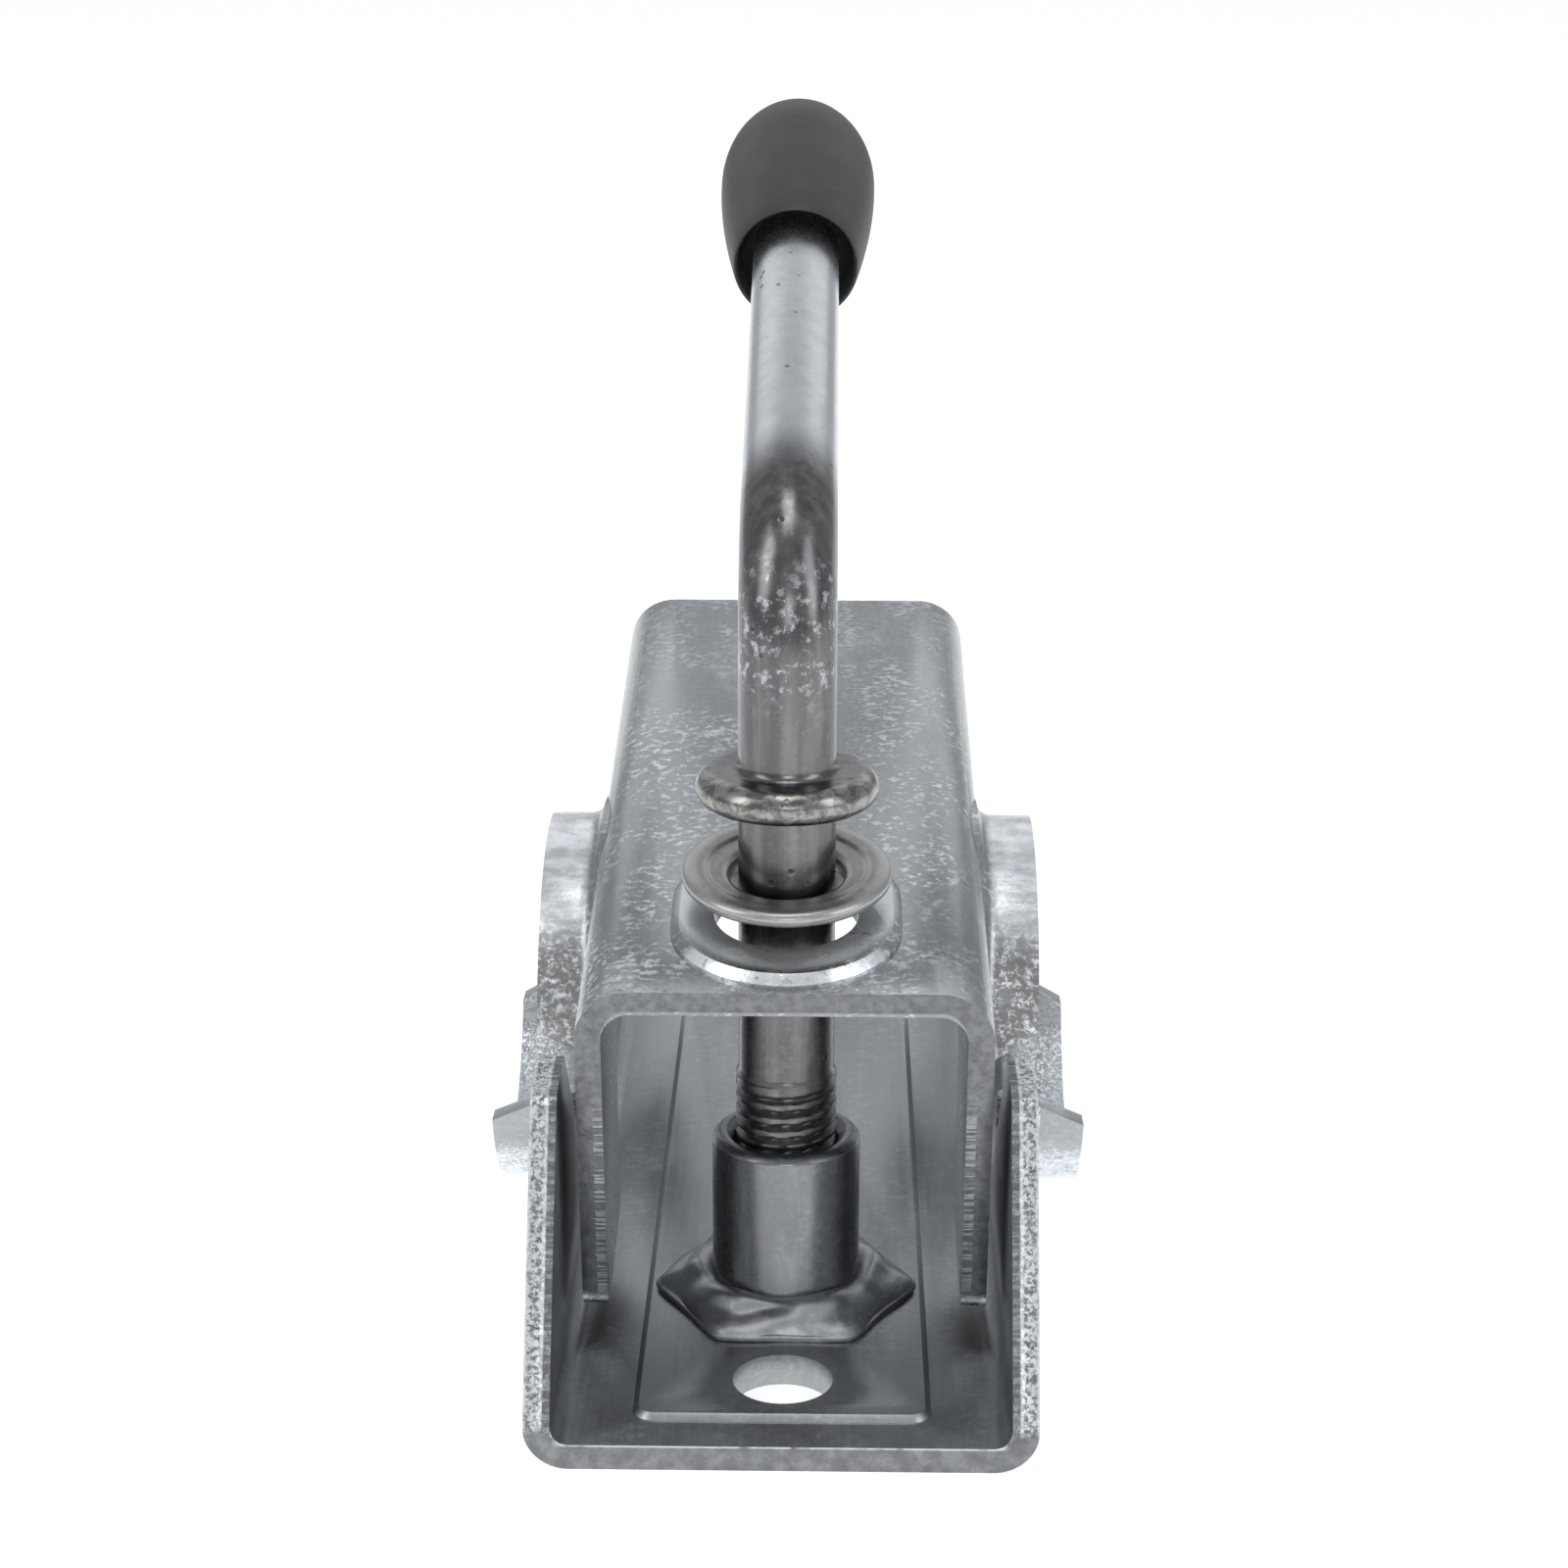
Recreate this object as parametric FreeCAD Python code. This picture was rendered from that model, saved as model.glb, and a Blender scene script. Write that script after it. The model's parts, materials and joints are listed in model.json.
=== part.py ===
"""Split clamp for a 48 mm jack tube: two hinged pressed shells, drawn together by a cranked screw.

Frame: +Z up, +Y to the hinge end, X along the clamped tube. The origin is on the base's
underside, at the centre of the two bolt holes, straight below the tube's axis.
"""
import FreeCAD
import Part
import math
import os
from FreeCAD import Placement, Rotation, Vector

# Tube and sheet
TUBE_RADIUS = 24.0
SHEET = 3.5
SEAT_LIFT = 9.9             # tube's underside above the base's underside
TUBE_HEIGHT = TUBE_RADIUS + SEAT_LIFT
COLLAR_BEND = 2.5           # small radius where a flange turns out into its lip
SEAT_OUTER = TUBE_RADIUS + SHEET
COLLAR_CENTRE = SEAT_OUTER + COLLAR_BEND

# Lower shell
BASE_LENGTH = 165.6
BASE_HALF_WIDTH = 33.6
LOWER_BEND = 6.0            # outer radius of the long bends
LIP_REACH_LOWER = BASE_HALF_WIDTH + 9.4
LIP_DROP_LOWER = 10.0       # lip's outer tip below the tube axis
LIP_SLOPE_LOWER = 0.5       # rise of the lip's end per mm towards the wall
FRONT_FOOT_HEIGHT = 4.5
EAR_SETBACK = 20.8          # ear's kink, behind the base's front end
EAR_LENGTH = 12.0
EAR_RISE = (9.7, 10.8)      # its kink and its back corner, above the tube axis

# Base panel and bolts
PANEL_RISE = 1.0
PANEL_HALF_WIDTH = 19.8
PANEL_MARGIN = 6.2
PANEL_CORNER = 3.0
BOLT_HOLE_RADIUS = 6.75
BOLT_EDGE = 16.4            # hole centre to the end of the base
FLOOR = SHEET + PANEL_RISE

# Upper shell, in its own untilted frame about the tube axis
JAW_TILT = 9.0              # degrees, rising to the hinge end
TILT = math.radians(JAW_TILT)
JAW_GAP = 2.25              # between the two shells' flanges
UPPER_HALF_WIDTH = BASE_HALF_WIDTH - SHEET - JAW_GAP
UPPER_BEND = 7.5
WEB_HEIGHT = TUBE_RADIUS + 9.7
LIP_REACH_UPPER = UPPER_HALF_WIDTH + 8.15
LIP_LIFT_UPPER = 9.0        # lip's outer tip above the tube axis
LIP_SLOPE_UPPER = 0.6
FRONT_LEG_FOOT = 17.9       # front leg's end, below the tube axis
LEG_CORNER = 4.0
BOSS_RISE = 1.8
BOSS_FLANK = 1.2
SLOT_HALF_WIDTH = 9.85
BOSS_HALF_WIDTH = SLOT_HALF_WIDTH + 5.9
BOSS_MARGIN = 7.7           # boss beyond the slot's ends
SLOT_FRONT = 13.3           # slot ends, measured from the screw axis
SLOT_BACK = 11.2

# Screw
SCREW_SETBACK = 42.8        # screw axis, behind the base's front end
SCREW_Y = SCREW_SETBACK - BASE_LENGTH / 2
SHANK_RADIUS = 6.65
THREAD_RADIUS = SHANK_RADIUS + 0.35
THREAD_PITCH = 2.0
THREAD_DEPTH = 1.1
THREAD_TOP = 38.5
FRONT_OVERHANG = 21.84      # jaw's front end, in front of the screw axis
UPPER_FRONT = FRONT_OVERHANG - (SCREW_Y + WEB_HEIGHT * math.sin(TILT)) / math.cos(TILT)

# Hinge
HINGE_Y = TUBE_RADIUS + 34.0
HINGE_Z = 32.0
HINGE_LOBE = 10.0
HINGE_TAIL = 15.1           # jaw's rear end, behind the hinge
UPPER_REAR = HINGE_Y + HINGE_TAIL
RIVET_RADIUS = 4.0
RIVET_HEAD_RADIUS = 6.5
RIVET_HEAD_HEIGHT = 2.4
PIVOT_CLEARANCE = 0.06
SHELL_CLEARANCE = 0.3

# Cup washer, parallel to the jaw
WASHER_RADIUS = 14.5
WASHER_BORE = SHANK_RADIUS + 1.15
WASHER_SHEET = 2.2
WASHER_LIFT = 4.2           # its middle above the boss's top, on the screw axis
WASHER_HUB = WASHER_BORE + 1.7
WASHER_HUB_DEPTH = 1.5
WASHER_DISH_RADIUS = WASHER_BORE + 3.2
WASHER_DISH_DEPTH = 0.7
WEB_ON_SCREW = TUBE_HEIGHT + SCREW_Y * math.tan(TILT) + WEB_HEIGHT / math.cos(TILT)
WASHER_MIDDLE = WEB_ON_SCREW + BOSS_RISE + WASHER_LIFT

# Bead and crank
BEAD_RADIUS = 12.5
BEAD_HEIGHT = 4.8
BEAD_LIFT = 12.4            # bead's middle above the washer's
BEAD_MIDDLE = WASHER_MIDDLE + BEAD_LIFT
BEND_RADIUS = 19.0
ARM_RISE = 18.0             # degrees above level
ARM_CORNER = BEAD_MIDDLE + 32.3     # height where the arm's line meets the screw axis
GRIP_START = 86.2           # along the arm, from the corner
GRIP_BITE = 37.8            # arm inside the grip
ARM_LENGTH = GRIP_START + GRIP_BITE

# Grip
GRIP_LENGTH = 47.6
GRIP_WIDEST = 30.0
GRIP_RADIUS = 12.35
GRIP_MOUTH_RADIUS = SHANK_RADIUS + 2.45
GRIP_RECESS_RADIUS = SHANK_RADIUS + 1.25
GRIP_RECESS_DEPTH = 3.0

# Sleeve nut and its pocket
NUT_RADIUS = THREAD_RADIUS + 3.35
NUT_TOP = 29.4
NUT_FLATS = 2 * NUT_RADIUS + 4.3
NUT_HEAD = 4.4
NUT_LIFT = 0.4              # nut's underside above the base's underside
NUT_CLEARANCE = 0.25
THREAD_CLEARANCE = 0.08
NUT_MOUTH = 1.3
POCKET_CORNERS = NUT_RADIUS + 7.15  # centre to corner at the plate
POCKET_RISE = 2.6           # above the panel
POCKET_WALL = 1.7           # round the nut at the pocket's top

# Stop ring on the screw's lower end
RING_RADIUS = NUT_RADIUS - 2.05
RING_HEIGHT = 2.0
RING_BOTTOM = 4.6
RING_NECK = THREAD_RADIUS - 2.4
RING_CLEARANCE = 0.1
PEEN_RADIUS = THREAD_RADIUS - THREAD_DEPTH
PEEN_HEIGHT = 1.1
SCREW_TRAVEL_UP = 8.0
COUNTERBORE_CLEARANCE = 0.3

FAR = 400.0


def fused(shapes):
    """Join shapes that touch or overlap into one clean solid."""
    return shapes[0].multiFuse(shapes[1:]).removeSplitter().Solids[0]


def rounded_corner(before, corner, after, radius):
    """The two tangent points of an arc that rounds a corner, and the arc's middle."""
    back = (before - corner).normalize()
    ahead = (after - corner).normalize()
    half = back.getAngle(ahead) / 2
    reach = radius / math.tan(half)
    middle = corner + (back + ahead).normalize() * (radius / math.sin(half) - radius)
    return corner + back * reach, middle, corner + ahead * reach


def outline(points):
    """A closed wire through (point, radius) pairs, with an arc at each corner that has a radius."""
    edges, starts, ends = [], [], []
    for index, (corner, radius) in enumerate(points):
        before, after = points[index - 1][0], points[(index + 1) % len(points)][0]
        if radius:
            first, middle, last = rounded_corner(before, corner, after, radius)
            edges.append(Part.Arc(first, middle, last).toShape())
        else:
            first = last = corner
        starts.append(first)
        ends.append(last)
    for index, start in enumerate(starts):
        edges.append(Part.LineSegment(ends[index - 1], start).toShape())
    return Part.Wire(Part.__sortEdges__(edges))


def side_plate(points, half_width=FAR):
    """A (y, z, radius) outline made a block right across the object."""
    wire = outline([(Vector(-half_width, y, z), radius) for y, z, radius in points])
    return Part.Face(wire).extrude(Vector(2 * half_width, 0, 0))


def channel(half_width, bend, front, rear, height):
    """A U channel of sheet, open upwards, with its outside on z = 0."""
    top = height + bend
    walls = []
    for inset in (0.0, SHEET):
        half, radius = half_width - inset, bend - inset
        corners = [(-half, top, 0), (-half, inset, radius), (half, inset, radius), (half, top, 0)]
        wire = outline([(Vector(x, front, z), corner) for x, z, corner in corners])
        walls.append(Part.Face(wire).extrude(Vector(0, rear - front, 0)))
    return walls[0].cut(walls[1])


def turned(points, centre, axis):
    """Revolve (radius, height) straight lines round a Z axis, then lean it to the given axis."""
    wire = Part.makePolygon([Vector(r, 0, z) for r, z in points + points[:1]])
    solid = Part.Face(wire).revolve(Vector(0, 0, 0), Vector(0, 0, 1), 360)
    solid.Placement = Placement(centre, Rotation(Vector(0, 0, 1), axis))
    return solid


def collar(half_width, reach):
    """The tube seat's full ring on the right: the flange turns out through a bend into the lip."""
    inner, outer = half_width - SHEET, half_width
    centre_x = outer + COLLAR_BEND
    diagonal = math.sqrt(0.5)
    big, small = COLLAR_BEND + SHEET, COLLAR_BEND

    def at(x, radius):
        return Vector(x, 0, radius)

    def bend(radius):
        return at(centre_x - radius * diagonal, COLLAR_CENTRE - radius * diagonal)

    edges = [
        Part.Arc(at(inner, COLLAR_CENTRE), bend(big), at(centre_x, TUBE_RADIUS)).toShape(),
        Part.LineSegment(at(centre_x, TUBE_RADIUS), at(reach, TUBE_RADIUS)).toShape(),
        Part.LineSegment(at(reach, TUBE_RADIUS), at(reach, SEAT_OUTER)).toShape(),
        Part.LineSegment(at(reach, SEAT_OUTER), at(centre_x, SEAT_OUTER)).toShape(),
        Part.Arc(at(centre_x, SEAT_OUTER), bend(small), at(outer, COLLAR_CENTRE)).toShape(),
        Part.LineSegment(at(outer, COLLAR_CENTRE), at(inner, COLLAR_CENTRE)).toShape(),
    ]
    return Part.Face(Part.Wire(edges)).revolve(Vector(0, 0, 0), Vector(1, 0, 0), 360)


def lip_limit(reach, tip, slope, side):
    """A block past the lip ends, above them for side 1 and below them for side -1."""
    wall = tip + side * reach * slope
    points = [Vector(0, -FAR, wall), Vector(2 * reach, -FAR, tip - side * reach * slope),
              Vector(2 * reach, -FAR, side * FAR), Vector(0, -FAR, side * FAR)]
    return Part.Face(Part.makePolygon(points + points[:1])).extrude(Vector(0, 2 * FAR, 0))


def mirrored(shape):
    """The same shape on the other side of the middle plane."""
    return shape.mirror(Vector(0, 0, 0), Vector(1, 0, 0))


def with_seat(shell, half_width, reach, tip, slope, side):
    """Open a shell's flanges round the tube and turn their edges out into lips."""
    inside = Vector(half_width - SHEET - 0.5, 0, 0)
    hole = Part.makeCylinder(COLLAR_CENTRE, SHEET + 1, inside, Vector(1, 0, 0))
    seat = collar(half_width, reach).cut(lip_limit(reach, tip, slope, side))
    opened = shell.cut(hole).cut(mirrored(hole))
    return fused([opened, seat, mirrored(seat)])


def hexagon(corner_radius, z, turn=0.0):
    """A hexagonal wire about the screw axis, with corners on X."""
    points = []
    for index in range(7):
        angle = math.radians(60 * index + turn)
        points.append(Vector(corner_radius * math.cos(angle), SCREW_Y + corner_radius * math.sin(angle), z))
    return Part.makePolygon(points)


def across_corners(flats):
    """Half the distance across corners of a hexagon with the given distance across flats."""
    return flats / 2 / math.cos(math.radians(30))


def screw_cylinder(radius, bottom, top):
    """A cylinder on the screw axis."""
    return Part.makeCylinder(radius, top - bottom, Vector(0, SCREW_Y, bottom))


def lower_outline():
    """The lower shell from the side: sloping front, ears, tube opening and hinge lobe."""
    half = BASE_LENGTH / 2
    opening = SEAT_OUTER + 2 * COLLAR_BEND
    kink = EAR_SETBACK - half
    return [(-half, -1, 0), (-half, FRONT_FOOT_HEIGHT, 2.5), (kink, TUBE_HEIGHT + EAR_RISE[0], 4),
            (kink + EAR_LENGTH, TUBE_HEIGHT + EAR_RISE[1], 3),
            (-opening, TUBE_HEIGHT - 7, 3), (-COLLAR_CENTRE + 3, TUBE_HEIGHT - 10, 0),
            (COLLAR_CENTRE - 3, TUBE_HEIGHT - 10, 0), (opening, TUBE_HEIGHT - 7, 3),
            (HINGE_Y - HINGE_LOBE, HINGE_Z + HINGE_LOBE, HINGE_LOBE - 1),
            (HINGE_Y + HINGE_LOBE, HINGE_Z + HINGE_LOBE, HINGE_LOBE - 1),
            (half, FRONT_FOOT_HEIGHT, 2.5), (half, -1, 0)]


def raised_panel():
    """The flat pad pressed up along the middle of the base."""
    end = BASE_LENGTH / 2 - PANEL_MARGIN
    corners = [(-PANEL_HALF_WIDTH, -end), (PANEL_HALF_WIDTH, -end),
               (PANEL_HALF_WIDTH, end), (-PANEL_HALF_WIDTH, end)]
    wire = outline([(Vector(x, y, SHEET / 2), PANEL_CORNER) for x, y in corners])
    pad = Part.Face(wire).extrude(Vector(0, 0, FLOOR - SHEET / 2))
    rim = [edge for edge in pad.Edges if all(abs(v.Point.z - FLOOR) < 1e-6 for v in edge.Vertexes)]
    return pad.makeChamfer(PANEL_RISE * 0.8, rim)


def hinge_pads():
    """Round pads pressed in from the lower flanges, so that the two shells meet at the hinge."""
    inner = BASE_HALF_WIDTH - SHEET
    rise = inner - UPPER_HALF_WIDTH - SHELL_CLEARANCE
    centre = Vector(inner - rise, HINGE_Y, HINGE_Z)
    pad = Part.makeCylinder(HINGE_LOBE - 0.5, rise + 0.5, centre, Vector(1, 0, 0))
    floor = Vector(BASE_HALF_WIDTH - rise, HINGE_Y, HINGE_Z)
    dent = Part.makeCylinder(RIVET_HEAD_RADIUS + 1, rise + 1, floor, Vector(1, 0, 0))
    hole = Part.makeCylinder(RIVET_RADIUS, 2 * SHEET + rise, centre - Vector(1, 0, 0), Vector(1, 0, 0))
    return pad, dent, hole


def lower_shell():
    """The pressed base with the lower half of the tube seat."""
    top = TUBE_HEIGHT + max(EAR_RISE)
    shell = channel(BASE_HALF_WIDTH, LOWER_BEND, -BASE_LENGTH / 2, BASE_LENGTH / 2, top)
    shell = shell.common(side_plate(lower_outline()))
    shell.translate(Vector(0, 0, -TUBE_HEIGHT))
    shell = with_seat(shell, BASE_HALF_WIDTH, LIP_REACH_LOWER, -LIP_DROP_LOWER, LIP_SLOPE_LOWER, 1)
    shell.translate(Vector(0, 0, TUBE_HEIGHT))

    crown = hexagon(NUT_RADIUS + POCKET_WALL, FLOOR + POCKET_RISE)
    dome = Part.makeLoft([hexagon(POCKET_CORNERS, FLOOR), crown], True)
    root = Part.Face(hexagon(POCKET_CORNERS, SHEET / 2)).extrude(Vector(0, 0, FLOOR - SHEET / 2))
    pad, dent, rivet_hole = hinge_pads()
    shell = fused([shell, raised_panel(), root, dome, pad, mirrored(pad)])

    head = across_corners(NUT_FLATS) + NUT_CLEARANCE
    ceiling = NUT_LIFT + NUT_HEAD + NUT_CLEARANCE
    cuts = [Part.Face(hexagon(head, -1)).extrude(Vector(0, 0, ceiling + 1)),
            screw_cylinder(NUT_RADIUS + NUT_CLEARANCE, 0, NUT_TOP),
            dent, mirrored(dent), rivet_hole, mirrored(rivet_hole)]
    for end in (-1, 1):
        centre = Vector(0, end * (BASE_LENGTH / 2 - BOLT_EDGE), -1)
        cuts.append(Part.makeCylinder(BOLT_HOLE_RADIUS, FLOOR + 2, centre))
    for cut in cuts:
        shell = shell.cut(cut)
    return shell


def jaw_point(y, z):
    """A point of the jaw's own frame, (y, z) from the tube axis, in the object's frame."""
    return Vector(0, y * math.cos(TILT) - z * math.sin(TILT),
                  TUBE_HEIGHT + y * math.sin(TILT) + z * math.cos(TILT))


def jaw_y_on_screw(height):
    """Where the level at this height of the jaw's own frame meets the screw axis."""
    return (SCREW_Y + height * math.sin(TILT)) / math.cos(TILT)


def to_jaw(y, z):
    """A point of the object's frame, in the jaw's own frame."""
    back, up = y, z - TUBE_HEIGHT
    return back * math.cos(TILT) + up * math.sin(TILT), up * math.cos(TILT) - back * math.sin(TILT)


def tilted(shape):
    """Move a shape from the jaw's own frame to its place at rest."""
    shape.Placement = Placement(jaw_point(0, 0), Rotation(Vector(1, 0, 0), JAW_TILT)) * shape.Placement
    return shape


def upper_outline():
    """The jaw from the side, in its own frame: front leg, tube opening and hinge leg."""
    hinge_y, hinge_z = to_jaw(HINGE_Y, HINGE_Z)
    foot = -FRONT_LEG_FOOT
    opening = COLLAR_CENTRE - 1
    low = LIP_LIFT_UPPER - (LIP_REACH_UPPER - UPPER_HALF_WIDTH) * LIP_SLOPE_UPPER
    return [(-UPPER_FRONT, WEB_HEIGHT + 1, 0), (-UPPER_FRONT, foot, LEG_CORNER), (-opening, foot, LEG_CORNER),
            (-opening, low, 0), (opening, low, 0),
            (hinge_y - HINGE_LOBE - 2, hinge_z - HINGE_LOBE, HINGE_LOBE - 2),
            (hinge_y + HINGE_LOBE, hinge_z - HINGE_LOBE, HINGE_LOBE - 2),
            (UPPER_REAR, WEB_HEIGHT - UPPER_BEND - 4, 4), (UPPER_REAR, WEB_HEIGHT + 1, 0)]


def slot_block(half_width, front, back, bottom, top):
    """An upright block with round ends in Y."""
    points = [(-half_width, front), (half_width, front), (half_width, back), (-half_width, back)]
    wire = outline([(Vector(x, y, bottom), half_width - 0.01) for x, y in points])
    return Part.Face(wire).extrude(Vector(0, 0, top - bottom))


def upper_shell():
    """The pressed jaw with the upper half of the tube seat."""
    shell = channel(UPPER_HALF_WIDTH, UPPER_BEND, -UPPER_REAR, UPPER_FRONT, WEB_HEIGHT + FRONT_LEG_FOOT)
    shell.rotate(Vector(0, 0, 0), Vector(1, 0, 0), 180)
    shell.translate(Vector(0, 0, WEB_HEIGHT))
    shell = shell.common(side_plate(upper_outline()))
    shell = with_seat(shell, UPPER_HALF_WIDTH, LIP_REACH_UPPER, LIP_LIFT_UPPER, LIP_SLOPE_UPPER, -1)

    centre = jaw_y_on_screw(WEB_HEIGHT)
    boss = slot_block(BOSS_HALF_WIDTH, centre - SLOT_FRONT - BOSS_MARGIN, centre + SLOT_BACK + BOSS_MARGIN,
                      WEB_HEIGHT - SHEET / 2, WEB_HEIGHT + BOSS_RISE)
    rim = [edge for edge in boss.Edges if edge.BoundBox.ZMin > WEB_HEIGHT + BOSS_RISE - 0.01]
    boss = boss.makeChamfer(BOSS_FLANK, rim)
    slot = slot_block(SLOT_HALF_WIDTH, centre - SLOT_FRONT, centre + SLOT_BACK, 0, WEB_HEIGHT + 2 * BOSS_RISE)
    hinge_y, hinge_z = to_jaw(HINGE_Y, HINGE_Z)
    pivot = Part.makeCylinder(RIVET_RADIUS + PIVOT_CLEARANCE, 4 * UPPER_HALF_WIDTH,
                              Vector(-2 * UPPER_HALF_WIDTH, hinge_y, hinge_z), Vector(1, 0, 0))
    return tilted(fused([shell, boss]).cut(slot).cut(pivot))


def hinge_rivet(side):
    """A rivet through one pair of flanges, with a domed head outside and a formed head inside."""
    rise = BASE_HALF_WIDTH - SHEET - UPPER_HALF_WIDTH - SHELL_CLEARANCE
    outside = BASE_HALF_WIDTH - rise
    inside = UPPER_HALF_WIDTH - SHEET - SHELL_CLEARANCE
    dome = RIVET_HEAD_HEIGHT * 0.55
    rim = RIVET_HEAD_RADIUS
    tail, crown = inside - RIVET_HEAD_HEIGHT, outside + RIVET_HEAD_HEIGHT
    profile = [(0, tail), (rim - 2.5, tail), (rim - 1, inside - 1), (rim - 1, inside), (RIVET_RADIUS, inside),
               (RIVET_RADIUS, outside), (rim, outside), (rim, outside + 0.8),
               (rim - 1.6, outside + dome + 0.5), (rim - 4, crown), (0, crown)]
    return turned(profile, Vector(0, HINGE_Y, HINGE_Z), Vector(side, 0, 0))


def sleeve_nut():
    """The hex-headed sleeve nut, with the stop ring's counterbore below and a wide mouth on top."""
    head = Part.Face(hexagon(across_corners(NUT_FLATS), NUT_LIFT)).extrude(Vector(0, 0, NUT_HEAD))
    barrel = screw_cylinder(NUT_RADIUS, NUT_LIFT, NUT_TOP)
    rim = [edge for edge in barrel.Edges if edge.BoundBox.ZMin > NUT_TOP - 0.01]
    barrel = barrel.makeChamfer(0.9, rim)
    bore = THREAD_RADIUS + THREAD_CLEARANCE
    ring_room = RING_BOTTOM + RING_HEIGHT + SCREW_TRAVEL_UP + COUNTERBORE_CLEARANCE
    mouth = Part.makeCone(bore, bore + NUT_MOUTH, NUT_MOUTH, Vector(0, SCREW_Y, NUT_TOP - NUT_MOUTH))
    nut = fused([head, barrel])
    for cut in (screw_cylinder(bore, 0, NUT_TOP + 1), mouth,
                screw_cylinder(RING_RADIUS + COUNTERBORE_CLEARANCE, 0, ring_room)):
        nut = nut.cut(cut)
    return nut


def thread_profile(bottom):
    """(radius, height) points of ring-shaped grooves from the bottom up to the thread's end."""
    points = []
    turns = int((THREAD_TOP - bottom) / THREAD_PITCH)
    for turn in range(turns):
        start = THREAD_TOP - (turns - turn) * THREAD_PITCH
        points += [(THREAD_RADIUS, start + 0.15 * THREAD_PITCH),
                   (THREAD_RADIUS - THREAD_DEPTH, start + 0.5 * THREAD_PITCH),
                   (THREAD_RADIUS, start + 0.85 * THREAD_PITCH)]
    return points


def bead_profile():
    """(radius, height) points of the bead's round rim."""
    half = BEAD_HEIGHT / 2
    flat = BEAD_RADIUS - half
    steps = 8
    points = []
    for step in range(steps + 1):
        angle = math.pi * (step / steps - 0.5)
        points.append((flat + half * math.cos(angle), BEAD_MIDDLE + half * math.sin(angle)))
    return points


def arm_direction():
    """The crank arm's direction."""
    rise = math.radians(ARM_RISE)
    return Vector(0, math.cos(rise), math.sin(rise))


def spindle():
    """The screw, its bead and the crank arm, bent from one bar."""
    turn = 90 - ARM_RISE
    tangent = BEND_RADIUS * math.tan(math.radians(turn / 2))
    bend_start = ARM_CORNER - tangent
    neck_top = RING_BOTTOM + RING_HEIGHT + RING_CLEARANCE
    neck_bottom = RING_BOTTOM - RING_CLEARANCE
    half = BEAD_HEIGHT / 2
    profile = [(0, neck_bottom - PEEN_HEIGHT), (PEEN_RADIUS - 0.6, neck_bottom - PEEN_HEIGHT),
               (PEEN_RADIUS, neck_bottom - 0.4), (PEEN_RADIUS, neck_bottom), (RING_NECK, neck_bottom),
               (RING_NECK, neck_top), (SHANK_RADIUS - 0.8, neck_top)]
    profile += thread_profile(neck_top + 0.5)
    profile += [(SHANK_RADIUS, THREAD_TOP + 0.4), (SHANK_RADIUS, BEAD_MIDDLE - half)]
    profile += bead_profile()
    profile += [(SHANK_RADIUS, BEAD_MIDDLE + half), (SHANK_RADIUS, bend_start), (0, bend_start)]
    screw = turned(profile, Vector(0, SCREW_Y, 0), Vector(0, 0, 1))

    start = Vector(0, SCREW_Y, bend_start)
    section = Part.Face(Part.Wire(Part.makeCircle(SHANK_RADIUS, start, Vector(0, 0, 1))))
    bend = section.revolve(start + Vector(0, BEND_RADIUS, 0), Vector(-1, 0, 0), turn)
    corner = Vector(0, SCREW_Y, ARM_CORNER)
    along = arm_direction()
    arm = Part.makeCylinder(SHANK_RADIUS, ARM_LENGTH - tangent, corner + along * tangent, along)
    return fused([screw, bend, arm])


def grip():
    """The soft cap pushed on to the crank arm."""
    swell = GRIP_RADIUS - GRIP_MOUTH_RADIUS
    big = (GRIP_WIDEST ** 2 + swell ** 2) / (2 * swell)
    middle = GRIP_RADIUS - big + math.sqrt(big ** 2 - (GRIP_WIDEST / 2) ** 2)
    side = Part.Arc(Vector(GRIP_MOUTH_RADIUS, 0, 0), Vector(middle, 0, GRIP_WIDEST / 2),
                    Vector(GRIP_RADIUS, 0, GRIP_WIDEST)).toShape()
    centre = Vector(0, 0, GRIP_WIDEST)
    nose = Part.Ellipse(Vector(0, 0, GRIP_LENGTH), Vector(GRIP_RADIUS, 0, GRIP_WIDEST), centre)
    dome = Part.Arc(nose, 0, math.pi / 2).toShape()
    bore_end = ARM_LENGTH - GRIP_START
    corners = [(0, GRIP_LENGTH), (0, bore_end), (SHANK_RADIUS, bore_end), (SHANK_RADIUS, GRIP_RECESS_DEPTH),
               (GRIP_RECESS_RADIUS, GRIP_RECESS_DEPTH), (GRIP_RECESS_RADIUS, 0), (GRIP_MOUTH_RADIUS, 0)]
    inside = Part.makePolygon([Vector(r, 0, s) for r, s in corners])
    wire = Part.Wire(Part.__sortEdges__([side, dome] + inside.Edges))
    cap = Part.Face(wire).revolve(Vector(0, 0, 0), Vector(0, 0, 1), 360)
    mouth = Vector(0, SCREW_Y, ARM_CORNER) + arm_direction() * GRIP_START
    cap.Placement = Placement(mouth, Rotation(Vector(0, 0, 1), arm_direction()))
    return cap


def stop_ring():
    """The loose ring that the screw's peened end carries in the nut's counterbore."""
    ring = screw_cylinder(RING_RADIUS, RING_BOTTOM, RING_BOTTOM + RING_HEIGHT)
    return ring.cut(screw_cylinder(RING_NECK + RING_CLEARANCE, RING_BOTTOM - 1, RING_BOTTOM + RING_HEIGHT + 1))


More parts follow.
